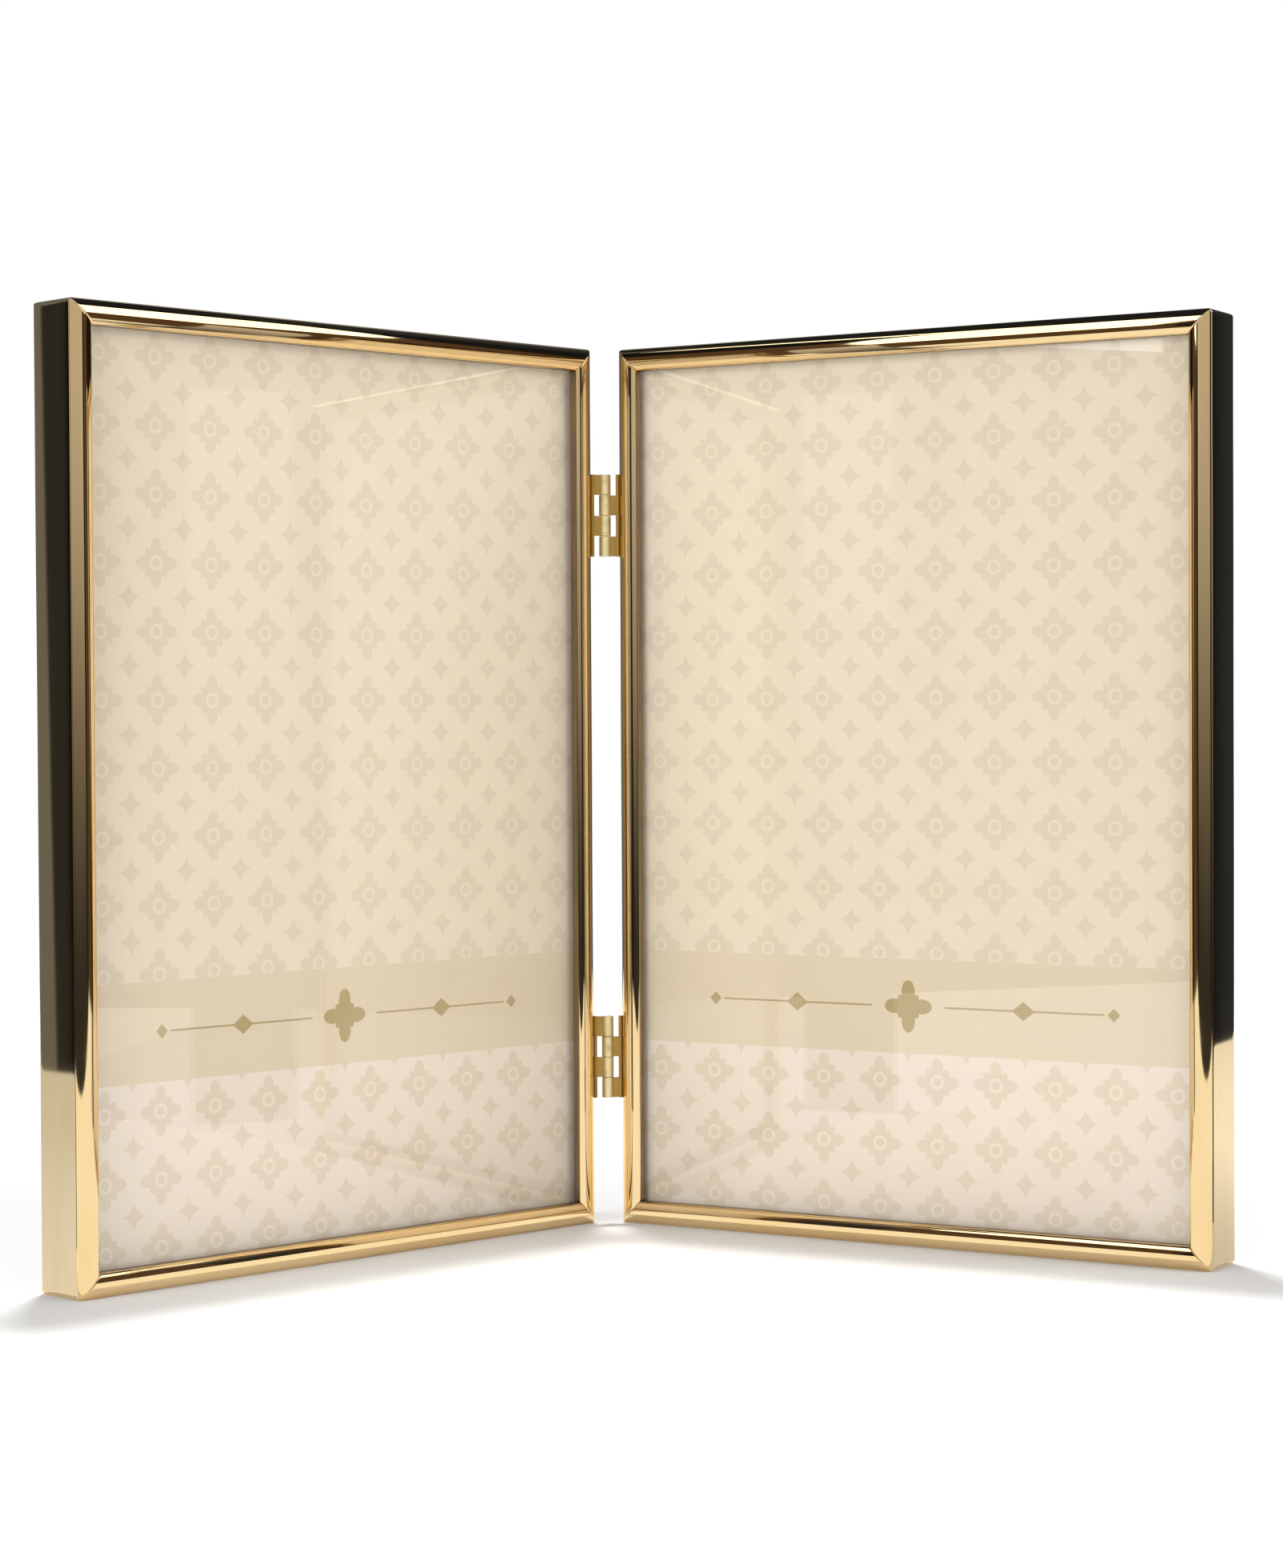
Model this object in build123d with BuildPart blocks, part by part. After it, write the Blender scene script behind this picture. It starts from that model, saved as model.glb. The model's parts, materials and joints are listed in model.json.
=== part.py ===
from build123d import *
import math
import os

# Hinged double photo frame. Two framed leaves stand like an open book, joined by two butt hinges.
# The viewer looks along +Y, so the leaves' outer stiles come forward and the hinges lie at the back.
# Each piece of the right leaf is made first, and the left leaf is its mirror image, except that
# the two plates of a hinge hold alternate knuckles.

# Photograph, and the sheets stacked behind the lip
photo_width = 127.0
photo_height = 177.8
glass_thickness = 2.0
print_thickness = 0.25
filler_thickness = 3.0
board_thickness = 3.0
velveteen_thickness = 0.4
board_play = 0.5

# Moulding, bent from one sheet: domed front, inner lip, flat side, hem at the back
wall = 0.8
moulding_width = 4.7
dome_rise = 1.15
dome_edge_radius = 0.35
lip_depth = 2.4
hem_width = 1.5
bend_radius = 0.8
corner_radius = 0.8
corner_relief = 0.05
side_play = 0.9
top_play = 2.1

# Corner keys, flat L plates in the hollow of the dome
key_leg = 16.0
key_thickness = 0.8
key_fit = 0.05

# Hinges, rolled from sheet round their pins
opening_angle = 104.0
hinge_gap = 5.2
hinge_lead = 0.25
hinge_height = 17.0
hinge_inset = 26.0
hinge_sheet = 0.65
plate_front = 0.9
plate_depth = 9.1
plate_corner_radius = 0.6
barrel_diameter = 2.4
pin_fit = 0.03
pin_chamfer = 0.15
knuckle_count = 4
knuckle_gap = 0.14
neck_run = 0.25
crank_angle = 45.0

# Countersunk rivets of the hinges
rivet_diameter = 1.5
rivet_head_diameter = 2.7
rivet_tail_diameter = 2.5
rivet_tail_height = 0.5
rivet_end = 3.7
rivet_back = 5.0
rivet_fit = 0.02

# Turn buttons, and the studs that they turn on, riveted through the board
button_thickness = 0.5
button_pivot_inset = 9.0
button_round_radius = 3.4
button_tip_radius = 1.9
button_tip_play = 0.3
button_hem_play = 0.3
button_fit = 0.05
button_height_shares = (0.27, 0.73)
stud_diameter = 2.0
stud_head_diameter = 4.2
stud_head_height = 0.5
stud_head_rounding = 0.25
stud_tail_diameter = 3.6
stud_tail_height = 0.5

# How far a cutting body runs past what it cuts
overrun = 1.0

# Sizes that follow. The sheets lie one behind the other from the lip back, then the turn buttons, and
# the moulding is deep enough for its hem to close over the buttons' tips.
leaf_width = photo_width + 2 * (wall + side_play)
leaf_height = photo_height + 2 * wall + top_play
print_front = lip_depth + glass_thickness
filler_front = print_front + print_thickness
board_front = filler_front + filler_thickness
velveteen_front = board_front + board_thickness
button_front = velveteen_front + velveteen_thickness + button_fit
moulding_depth = button_front + button_thickness + button_hem_play + wall
stud_head_front = button_front + button_thickness + button_fit
half_moulding = moulding_width / 2
dome_radius = (half_moulding**2 + dome_rise**2) / (2 * dome_rise)
inner_spring = dome_radius - math.sqrt((dome_radius - wall) ** 2 - (half_moulding - wall) ** 2)
corner_centre = corner_radius - corner_relief
corner_cut = corner_centre - corner_radius / math.sqrt(2)
barrel_radius = barrel_diameter / 2
bore_radius = barrel_radius - hinge_sheet
rivet_radius = rivet_diameter / 2
countersink_depth = (rivet_head_diameter - rivet_diameter) / 2
stud_radius = stud_diameter / 2
stud_tail_radius = stud_tail_diameter / 2
knuckle_pitch = hinge_height / knuckle_count
hinge_bases = {"upper": leaf_height - hinge_inset - hinge_height, "lower": hinge_inset}

# Directions of the right leaf, from the hinge axis. The axis stands where the model's depth is centred
# on the origin: the front is the dome of the outer stile, and the back the bent edge of the inner one.
leaf_turn = math.radians((180 - opening_angle) / 2)
outward = Vector(math.cos(leaf_turn), -math.sin(leaf_turn), 0)
backward = Vector(math.sin(leaf_turn), math.cos(leaf_turn), 0)
upward = Vector(0, 0, 1)
front_reach = (hinge_gap / 2 + leaf_width - half_moulding) * outward.Y
front_reach += (hinge_lead + dome_radius) * backward.Y - dome_radius
back_reach = (hinge_gap / 2 + bend_radius) * outward.Y
back_reach += (hinge_lead + moulding_depth - bend_radius) * backward.Y + bend_radius
hinge_axis = Vector(0, -(front_reach + back_reach) / 2, 0)
leaf_origin = hinge_axis + outward * (hinge_gap / 2) + backward * hinge_lead

# Planes of the right leaf, from the foot of its inner side face, level with the ridge of the dome
section_plane = Plane(leaf_origin, x_dir=outward, z_dir=upward)
side_plane = Plane(leaf_origin, x_dir=backward, z_dir=outward)
front_plane = Plane(leaf_origin, x_dir=outward, z_dir=-backward)
foot = (Align.CENTER, Align.CENTER, Align.MIN)
head = (Align.CENTER, Align.CENTER, Align.MAX)

os.makedirs("parts", exist_ok=True)


def behind(depth):
    """The leaf's front plane, moved back behind the ridge of the dome."""
    return front_plane.offset(-depth)


def leaf_corner(across, height):
    """A point level with the ridge, at this way across the leaf and this height."""
    return leaf_origin + outward * across + upward * height


def export_named(part, label):
    """Writes one piece under its name."""
    part.label = label
    export_step(part, f"parts/{label}.step")


def export_left(part, name):
    """Writes the left leaf's piece, the mirror image of the part given."""
    with BuildPart() as mirrored:
        mirror(part, about=Plane.YZ)
    export_named(mirrored.part, f"left_{name}")


def export_pair(part, name):
    """Writes a piece of the right leaf, and its mirror image in the left leaf."""
    export_named(part, f"right_{name}")
    export_left(part, name)


def rail(corner, inward, along, length):
    """One moulding, its section carried along the leaf's edge, mitred and rounded at both corners.

    The section's x runs inward from the leaf's outer face, and its y runs back from the ridge.
    """
    with BuildPart() as moulding:
        with BuildSketch(Plane(corner, x_dir=inward, z_dir=along)) as section:
            with BuildLine():
                Polyline((hem_width, moulding_depth), (0, moulding_depth), (0, dome_rise))
                ThreePointArc((0, dome_rise), (half_moulding, 0), (moulding_width, dome_rise))
                Polyline(
                    (moulding_width, dome_rise),
                    (moulding_width, lip_depth),
                    (moulding_width - wall, lip_depth),
                    (moulding_width - wall, inner_spring),
                )
                ThreePointArc(
                    (moulding_width - wall, inner_spring),
                    (half_moulding, wall),
                    (wall, inner_spring),
                )
                Polyline(
                    (wall, inner_spring),
                    (wall, moulding_depth - wall),
                    (hem_width, moulding_depth - wall),
                    (hem_width, moulding_depth),
                )
            make_face()
            fillet(section.vertices().sort_by_distance((0, moulding_depth))[0], bend_radius)
            for edge in (0, moulding_width):
                fillet(section.vertices().sort_by_distance((edge, dome_rise))[0], dome_edge_radius)
        extrude(amount=length)
        with BuildSketch(Plane(corner - backward * overrun, x_dir=inward, z_dir=-backward)):
            with BuildLine():
                for end, way in ((0, 1), (length, -1)):
                    beside = (-overrun, end + way * corner_centre)
                    on_side = (corner_centre - corner_radius, end + way * corner_centre)
                    on_mitre = (corner_cut, end + way * corner_cut)
                    past_lip = (moulding_width + overrun, end + way * (moulding_width + overrun))
                    Line(beside, on_side)
                    RadiusArc(on_side, on_mitre, way * corner_radius)
                    Line(on_mitre, past_lip)
                Line((-overrun, corner_centre), (-overrun, length - corner_centre))
                inner_edge = moulding_width + overrun
                Line((inner_edge, inner_edge), (inner_edge, length - inner_edge))
            make_face()
        extrude(amount=-(moulding_depth + 2 * overrun), mode=Mode.INTERSECT)
    return moulding.part


def sheet(front, thickness, width, height):
    """A rectangular sheet of the stack, centred between the stiles and standing on the bottom rail."""
    with BuildPart() as layer:
        with BuildSketch(behind(front)):
            with Locations((leaf_width / 2, wall)):
                Rectangle(width, height, align=(Align.CENTER, Align.MIN))
        extrude(amount=-thickness)
    return layer.part


def rivet_seats(base):
    """Where the two rivets of a hinge start, on the plate's outer face, pointing into the stile."""
    across = plate_front + rivet_back
    outer_face = side_plane.offset(-hinge_sheet)
    heights = (base + rivet_end, base + hinge_height - rivet_end)
    return [outer_face.location * Location((across, height, 0)) for height in heights]


def countersunk_rivet(play, mode):
    """The countersunk head and the shank, through plate and wall, with this much play round them."""
    shank = rivet_radius + play
    Cone(shank + countersink_depth, shank, countersink_depth, align=foot, mode=mode)
    Cylinder(shank, hinge_sheet + wall, align=foot, mode=mode)


def hinge_plate(base, knuckles):
    """One half of a hinge: a plate on the inner stile's side face, cranked at each of its knuckles
    to a ring round the pin. The neck is the sheet's face beside the ring, measured from the stile."""
    neck = barrel_radius - hinge_gap / 2
    crank_start = neck_run - hinge_lead
    crank_end = crank_start - neck / math.tan(math.radians(crank_angle))
    crank_step = hinge_sheet * math.tan(math.radians(crank_angle) / 2)
    with BuildPart() as plate:
        with BuildSketch(side_plane):
            with Locations((plate_front, base)):
                RectangleRounded(plate_depth, hinge_height, plate_corner_radius, align=Align.MIN)
                Rectangle(plate_depth / 2, hinge_height, align=Align.MIN)
        extrude(amount=-hinge_sheet)
        for knuckle in knuckles:
            with BuildSketch(section_plane.offset(base + knuckle * knuckle_pitch + knuckle_gap / 2)):
                with BuildLine():
                    Polyline(
                        (neck, -hinge_lead),
                        (neck, crank_start),
                        (0, crank_end),
                        (0, crank_end + crank_step),
                        (-hinge_sheet, crank_end + crank_step),
                        (neck - hinge_sheet, crank_start + crank_step),
                        (neck - hinge_sheet, -hinge_lead),
                        close=True,
                    )
                make_face()
                with Locations((-hinge_gap / 2, -hinge_lead)):
                    Circle(barrel_radius)
                    Circle(bore_radius, mode=Mode.SUBTRACT)
            extrude(amount=knuckle_pitch - knuckle_gap)
        with Locations(*rivet_seats(base)):
            countersunk_rivet(rivet_fit, Mode.SUBTRACT)
    return plate.part


def turn_button(seat, tip):
    """A flat tear-shaped clip that turns on its stud, with its tip under the hem of the stile."""
    with BuildPart() as button:
        with BuildSketch(behind(button_front)):
            with Locations(seat):
                Circle(button_round_radius)
            with Locations(tip):
                Circle(button_tip_radius)
            make_hull()
            with Locations(seat):
                Circle(stud_radius + button_fit, mode=Mode.SUBTRACT)
        extrude(amount=-button_thickness)
    return button.part


# Rails
export_pair(rail(leaf_corner(leaf_width, leaf_height), -outward, -upward, leaf_height), "outer_stile")
export_pair(rail(leaf_corner(0, leaf_height), -upward, outward, leaf_width), "top_rail")
export_pair(rail(leaf_corner(leaf_width, 0), upward, -outward, leaf_width), "bottom_rail")
unpierced_stile = rail(leaf_origin, outward, upward, leaf_height)
with BuildPart() as inner_stile:
    add(unpierced_stile)
    for base in hinge_bases.values():
        with Locations(*rivet_seats(base)):
            countersunk_rivet(rivet_fit, Mode.SUBTRACT)
export_pair(inner_stile.part, "inner_stile")

# Corner keys fill the hollow of the dome behind each mitre
key_inset = wall + key_fit
key_width = moulding_width - 2 * key_inset
with BuildPart() as corner_keys:
    with BuildSketch(behind(inner_spring + key_fit)):
        with Locations((leaf_width / 2, leaf_height / 2)):
            with GridLocations(
                leaf_width - 2 * key_inset - key_leg, leaf_height - 2 * key_inset - key_leg, 2, 2
            ):
                Rectangle(key_leg, key_leg)
            Rectangle(
                leaf_width - 2 * (key_inset + key_width),
                leaf_height - 2 * (key_inset + key_width),
                mode=Mode.SUBTRACT,
            )
    extrude(amount=-key_thickness)
export_pair(corner_keys.part, "corner_keys")

# Glass, print and filler
export_pair(sheet(lip_depth, glass_thickness, photo_width, photo_height), "glass")
export_pair(sheet(print_front, print_thickness, photo_width, photo_height), "print")
export_pair(sheet(filler_front, filler_thickness, photo_width, photo_height), "filler_card")

# Turn buttons: the seat is where each turns, and the tip reaches under the hem beside it
tip_inset = wall + button_tip_play + button_tip_radius
button_places = {}
for height_name, height_share in zip(("lower", "upper"), button_height_shares):
    height = leaf_height * height_share
    button_places[f"{height_name}_inner"] = ((button_pivot_inset, height), (tip_inset, height))
    button_places[f"{height_name}_outer"] = (
        (leaf_width - button_pivot_inset, height),
        (leaf_width - tip_inset, height),
    )
for button_name, (seat, tip) in button_places.items():
    export_pair(turn_button(seat, tip), f"{button_name}_turn_button")
stud_seats = [seat for seat, tip in button_places.values()]

# Backing board and its velveteen, pierced for the studs
board_width = photo_width - board_play
board_height = photo_height - board_play
plain_board = sheet(board_front, board_thickness, board_width, board_height)
with BuildPart() as backing_board:
    add(plain_board)
    with Locations(*[behind(board_front).location * Location((*seat, 0)) for seat in stud_seats]):
        CounterBoreHole(stud_radius + rivet_fit, stud_tail_radius + rivet_fit, stud_tail_height)
export_pair(backing_board.part, "backing_board")
with BuildPart() as velveteen:
    with BuildSketch(behind(velveteen_front)):
        with Locations((leaf_width / 2, wall)):
            Rectangle(board_width, board_height, align=(Align.CENTER, Align.MIN))
        with Locations(*stud_seats):
            Circle(stud_radius + rivet_fit, mode=Mode.SUBTRACT)
    extrude(amount=-velveteen_thickness)
export_pair(velveteen.part, "velveteen")

# Studs: a low round head over the button, a shank through the board, a tail clenched in its front
with BuildPart() as button_studs:
    with Locations(*[behind(stud_head_front).location * Location((*seat, 0)) for seat in stud_seats]):
        Cylinder(stud_head_diameter / 2, stud_head_height, align=head)
    fillet(button_studs.edges().group_by(Axis(leaf_origin, backward))[-1], stud_head_rounding)
    with Locations(*[behind(stud_head_front).location * Location((*seat, 0)) for seat in stud_seats]):
        Cylinder(stud_radius, stud_head_front - board_front, align=foot)
    with Locations(*[behind(board_front).location * Location((*seat, 0)) for seat in stud_seats]):
        Cylinder(stud_tail_radius, stud_tail_height, align=head)
export_pair(button_studs.part, "button_studs")

# Hinge plates: the left leaf's knuckles are the first and third from the top
for hinge_name, base in hinge_bases.items():
    export_named(hinge_plate(base, range(0, knuckle_count, 2)), f"right_{hinge_name}_hinge_plate")
    export_left(hinge_plate(base, range(1, knuckle_count, 2)), f"{hinge_name}_hinge_plate")

# Hinge rivets, with their tails spread inside the stile
with BuildPart() as hinge_rivets:
    for base in hinge_bases.values():
        with Locations(*rivet_seats(base)):
            countersunk_rivet(0, Mode.ADD)
            with Locations((0, 0, hinge_sheet + wall)):
                Cylinder(rivet_tail_diameter / 2, rivet_tail_height, align=foot)
export_pair(hinge_rivets.part, "hinge_rivets")

# Hinge pins
for hinge_name, base in hinge_bases.items():
    with BuildPart() as pin:
        with Locations(hinge_axis + upward * base):
            Cylinder(bore_radius - pin_fit, hinge_height, align=foot)
        chamfer(pin.edges().filter_by(GeomType.CIRCLE), pin_chamfer)
    export_named(pin.part, f"{hinge_name}_hinge_pin")
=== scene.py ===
# %% [markdown]
# A hinged double photo frame stands like an open book: two leaves of polished gold moulding, each
# with glass, a printed paper and a velveteen back, joined by two small brass hinges.
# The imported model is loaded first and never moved. It could be dressed by hand in Blender's window,
# but a script can be run again whenever the model changes, so every piece is made in code.

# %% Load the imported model
import json
import math

import bpy
import numpy as np
from mathutils import Matrix, Vector

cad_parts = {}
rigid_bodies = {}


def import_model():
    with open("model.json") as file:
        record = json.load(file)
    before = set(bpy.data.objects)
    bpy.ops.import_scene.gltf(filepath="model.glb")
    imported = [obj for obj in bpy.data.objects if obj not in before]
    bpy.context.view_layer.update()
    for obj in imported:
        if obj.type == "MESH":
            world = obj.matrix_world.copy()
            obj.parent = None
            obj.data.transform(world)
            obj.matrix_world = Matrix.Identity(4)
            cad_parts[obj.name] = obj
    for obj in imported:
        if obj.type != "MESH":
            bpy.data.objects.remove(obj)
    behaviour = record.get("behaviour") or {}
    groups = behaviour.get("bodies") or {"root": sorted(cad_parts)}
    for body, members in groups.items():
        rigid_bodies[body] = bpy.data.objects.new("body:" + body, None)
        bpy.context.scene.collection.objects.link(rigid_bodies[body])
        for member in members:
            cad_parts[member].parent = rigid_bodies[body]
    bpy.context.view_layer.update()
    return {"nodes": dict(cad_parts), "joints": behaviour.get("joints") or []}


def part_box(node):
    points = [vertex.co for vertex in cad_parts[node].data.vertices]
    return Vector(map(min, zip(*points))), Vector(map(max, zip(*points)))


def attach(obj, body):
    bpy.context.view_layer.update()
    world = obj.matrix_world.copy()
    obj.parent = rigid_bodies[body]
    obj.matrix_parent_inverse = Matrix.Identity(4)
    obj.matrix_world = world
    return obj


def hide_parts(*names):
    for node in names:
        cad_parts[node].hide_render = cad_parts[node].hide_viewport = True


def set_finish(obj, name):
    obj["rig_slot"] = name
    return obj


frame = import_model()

mm = 0.001
scene = bpy.context.scene

# %% [markdown]
# The camera comes first, because every later choice is judged through it. The photograph was taken
# from a little left of the middle and a little above the frame's centre, with a long lens.
# Its place and turns were worked out from the corners of both leaves, so no lens shift is needed.

# %% Camera
image_height = 1955
focal_pixels = 4185
sensor = 36.0
camera_place = (-0.07694, -0.65736, 0.1055)
camera_data = bpy.data.cameras.new("camera")
camera_data.sensor_width = sensor
camera_data.lens = sensor * focal_pixels / image_height
camera = bpy.data.objects.new("camera", camera_data)
scene.collection.objects.link(camera)
scene.camera = camera
yaw, pitch, roll = (math.radians(angle) for angle in (-6.93, -1.17, 0.30))
level = Matrix.Rotation(math.radians(90), 4, "X")
camera.matrix_world = (
    Matrix.Translation(camera_place)
    @ Matrix.Rotation(yaw, 4, "Z")
    @ Matrix.Rotation(pitch, 4, "X")
    @ Matrix.Rotation(roll, 4, "Y")
    @ level
)
print("lens", round(camera_data.lens, 2), "mm")

# %% [markdown]
# Both leaves are the same piece seen in a mirror, so every new piece is placed by three numbers:
# how far it lies across the leaf from the hinge side, how high, and how deep behind the ridge of
# the moulding. One function turns those numbers into places in the room, for either leaf.
# The hinge axis is read from the model, and the leaf's own sizes are measured on its nodes.

# %% Leaf coordinates
opening_angle = 104
hinge_gap = 5.2 * mm
hinge_lead = 0.25 * mm
hinge_joint = next(joint for joint in frame["joints"] if joint["name"] == "leaf_hinge")
axis_x, axis_y, _ = hinge_joint["pos_m"]
leaf_turn = math.radians((180 - opening_angle) / 2)
leaf_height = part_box("right_outer_stile")[1].z
SIDES = {"left": -1, "right": 1}


def leaf_directions(side):
    """Unit vectors across the leaf from the hinge, and backwards through it. The left leaf's are
    the right leaf's with x turned about."""
    across = np.array((side * math.cos(leaf_turn), -math.sin(leaf_turn), 0))
    backward = np.array((side * math.sin(leaf_turn), math.cos(leaf_turn), 0))
    return across, backward


def leaf_points(side, across, height, depth):
    """Points of the room: the leaf's foot, plus across times its width direction, plus height
    upwards, plus depth times its backward direction."""
    along, back = leaf_directions(side)
    foot = np.array((axis_x, axis_y, 0)) + along * hinge_gap / 2 + back * hinge_lead
    across, height, depth = np.broadcast_arrays(across, height, depth)
    flat = across[..., None] * along + depth[..., None] * back + foot
    flat[..., 2] += height
    return flat


def leaf_measure(node, side):
    """Lowest and highest across, height and depth of a node's mesh, from products of each vertex
    with the leaf's directions."""
    mesh = frame["nodes"][node].data
    places = np.empty(len(mesh.vertices) * 3)
    mesh.vertices.foreach_get("co", places)
    places = places.reshape(-1, 3)
    along, back = leaf_directions(side)
    start = leaf_points(side, 0.0, 0.0, 0.0)
    local = np.stack(((places - start) @ along, places[:, 2], (places - start) @ back), axis=1)
    return local.min(axis=0), local.max(axis=0)


leaf_width = leaf_measure("right_outer_stile", 1)[1][0]
print("leaf", round(leaf_width / mm, 2), "by", round(leaf_height / mm, 2), "mm")

# %% [markdown]
# A new piece is a grid of points: rows one way, columns the other. The faces of a grid follow from
# its counts, and a grid that closes on itself joins its last row or column to the first.
# The texture map has one more row or column than the points there, so that it never runs backwards.

# %% Meshes from grids
sharp_angle = 35


def grid_quads(rows, columns, width):
    """Corner numbers of the quads of a grid: point (r, c) has number r * width + c, with c starting
    again from 0 at width, and each quad takes (r, c), (r, c + 1), (r + 1, c + 1), (r + 1, c)."""
    r, c = np.meshgrid(np.arange(rows), np.arange(columns), indexing="ij")
    corners = [(r, c), (r, c + 1), (r + 1, c + 1), (r + 1, c)]
    return np.stack([row * width + column % width for row, column in corners], axis=-1).reshape(-1, 4)


def make_piece(name, points, quads, body, slot, replaced, map_points, map_quads, flip):
    """An object from points, quads and a texture map given per corner, smooth but for its sharp
    edges, riding on a body in place of the nodes it stands for. In the mirrored leaf, flip turns
    the quads so that they face outwards again."""
    if flip:
        quads, map_quads = quads[:, ::-1], map_quads[:, ::-1]
    mesh = bpy.data.meshes.new(name)
    mesh.from_pydata(points.reshape(-1, 3), [], quads)
    layer = mesh.uv_layers.new(name="UVMap")
    layer.data.foreach_set("uv", map_points.reshape(-1, 2)[map_quads.ravel()].ravel())
    mesh.shade_smooth()
    mesh.set_sharp_from_angle(angle=math.radians(sharp_angle))
    mesh.validate()
    piece = bpy.data.objects.new(name, mesh)
    scene.collection.objects.link(piece)
    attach(piece, body)
    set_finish(piece, slot)
    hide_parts(*replaced)
    return piece


print("one rail's ring of four quads:", grid_quads(1, 4, 4).tolist())

# %% [markdown]
# The moulding is one thin sheet bent to a domed front, an inner lip, a flat side and a short hem at
# the back. Sweeping a curve object would give it, but its mitres and corner rounding would be hard
# to hold. So the sheet's two faces are drawn as outlines with the same number of points, from
# straight runs and arcs, and the surface is worked out from them. The dome isn't even: it falls
# steeply from its ridge to the outer edge, and gently to the opening. The lip starts for the finish
# at one of the outline's last points, in the rounding of the opening.

# %% Section of the moulding
moulding_width = 4.7 * mm
ridge_place = 2.6 * mm
shoulder_radius = 3.1 * mm
dome_radius = 4.2 * mm
outer_rounding = 0.3 * mm
opening_rounding = 1.1 * mm
lip_depth = 2.4 * mm
wall = 0.8 * mm
hem_width = 1.5 * mm
bend_radius = 0.8 * mm
hidden_rounding = 0.1 * mm
moulding_depth = leaf_measure("right_outer_stile", 1)[1][2]
side_crown = 0.05 * mm
hem_steps, bend_steps, side_steps, edge_steps = 3, 8, 12, 6
shoulder_steps, dome_steps, opening_steps, lip_steps = 20, 12, 7, 3
lip_point = -7


def run(start, end, steps):
    """Points evenly spaced on a straight line, without its end."""
    share = np.arange(steps)[:, None] / steps
    return np.array(start) * (1 - share) + np.array(end) * share


def arc(centre, radius, start, end, steps):
    """Points at even angles on a circle: centre plus radius times cosine and sine, in degrees."""
    angle = np.radians(start + (end - start) * np.arange(steps) / steps)
    return np.array(centre) + radius * np.stack((np.cos(angle), np.sin(angle)), axis=1)


def spring(radius, inset, reach, edge):
    """Where a rounding touches both an upright side and a circle that tops out at the ridge: the
    circle's angle there in degrees, and the depth at which the side begins. Reach is the way from
    the ridge to the side, and edge the rounding's radius."""
    ring = radius - inset - edge
    lean = math.asin((reach - edge) / ring)
    return math.degrees(lean), radius - ring * math.cos(lean)


def outline(inset, outer_edge, opening_edge, bend):
    """One face of the sheet, as (inward, back) points from the hem's end to the lip's end. The dome
    is two circles that meet at the ridge, drawn in by inset, and each rounding touches its two
    neighbours."""
    far, back = moulding_width - inset, moulding_depth - inset
    steep, outer_depth = spring(shoulder_radius, inset, ridge_place - inset, outer_edge)
    gentle, opening_depth = spring(dome_radius, inset, far - ridge_place, opening_edge)
    parts = (
        run((hem_width, back), (inset + bend, back), hem_steps),
        arc((inset + bend, back - bend), bend, 90, 180, bend_steps),
        run((inset, back - bend), (inset, outer_depth), side_steps),
        arc((inset + outer_edge, outer_depth), outer_edge, 180, 270 - steep, edge_steps),
        arc((ridge_place, shoulder_radius), shoulder_radius - inset, 270 - steep, 270, shoulder_steps),
        arc((ridge_place, dome_radius), dome_radius - inset, 270, 270 + gentle, dome_steps),
        arc((far - opening_edge, opening_depth), opening_edge, 270 + gentle, 360, opening_steps),
        run((far, opening_depth), (far, lip_depth), lip_steps),
        np.array([(far, lip_depth)]),
    )
    return np.concatenate(parts)


def crowned(face):
    """The face with its flat side swollen outwards: by the crown, times one minus the square of the
    way from the side's middle to its ends."""
    on_side = np.isclose(face[:, 0], 0)
    back = face[on_side, 1]
    way = (2 * back - back.min() - back.max()) / (back.max() - back.min())
    swollen = face.copy()
    swollen[on_side, 0] -= side_crown * (1 - way**2)
    return swollen


def girth(points):
    """Length along an outline up to each of its points: the running sum of its steps."""
    steps = np.linalg.norm(np.diff(points, axis=0), axis=1)
    return np.concatenate(((0,), np.cumsum(steps)))


outer_face = crowned(outline(0, outer_rounding, opening_rounding, bend_radius))
inner_face = outline(wall, hidden_rounding, hidden_rounding, hidden_rounding)
lip_start = girth(outer_face)[lip_point]
print("outline has", len(outer_face), "points a face; its lip starts", round(lip_start / mm, 2), "mm along")

# %% [markdown]
# Each rail's end is cut at 45 degrees, and the corner of the frame is rounded a little. Seen in the
# plane of the leaf, a point of the section runs along a path: a short arc round the corner if it
# lies near the outer side, and then straight. The sheet's edge is drawn in by a hair at the joint,
# as a soldered mitre looks, and the long faces wave slightly, which real bent sheet always does.

# %% Rails
corner_radius = 1.1 * mm
corner_centre = 1.05 * mm
corner_cut = corner_centre - corner_radius / math.sqrt(2)
corner_zone = 1.6 * mm
zone_shares = np.array((0, 0.03, 0.07, 0.13, 0.2, 0.28, 0.38, 0.5, 0.65, 0.82))
middle_columns = 40
mitre_dip_share = 0.1
mitre_dip_reach = 0.25 * mm
wave_height = 0.012 * mm
wave_length = 58 * mm
wave_fade = 20 * mm


def corner_path(inward, share):
    """Where a point of the section lies near a mitre, as (inward, along): from the joint round the
    corner's arc until it is at its own distance inward, then straight along, at this share of the
    way to the zone's end. The arc starts on the diagonal of the corner, at 225 degrees."""
    start = np.maximum(inward, corner_cut)
    low = math.radians(225)
    lean = np.clip((corner_centre - inward) / corner_radius, -1, 1)
    end = np.where(inward < corner_cut, math.pi + np.arccos(lean), low)
    arc_length = (low - end) * corner_radius
    foot = np.where(inward < corner_cut, corner_centre + corner_radius * np.sin(end), start)
    straight = start + corner_zone - foot
    travel = share * (arc_length + straight)
    angle = low - np.minimum(travel, arc_length) / corner_radius
    on_arc = (travel < arc_length) & (inward < corner_cut)
    x = np.where(on_arc, corner_centre + corner_radius * np.cos(angle), inward)
    along = np.where(on_arc, corner_centre + corner_radius * np.sin(angle), foot + travel - arc_length)
    return x, along


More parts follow.
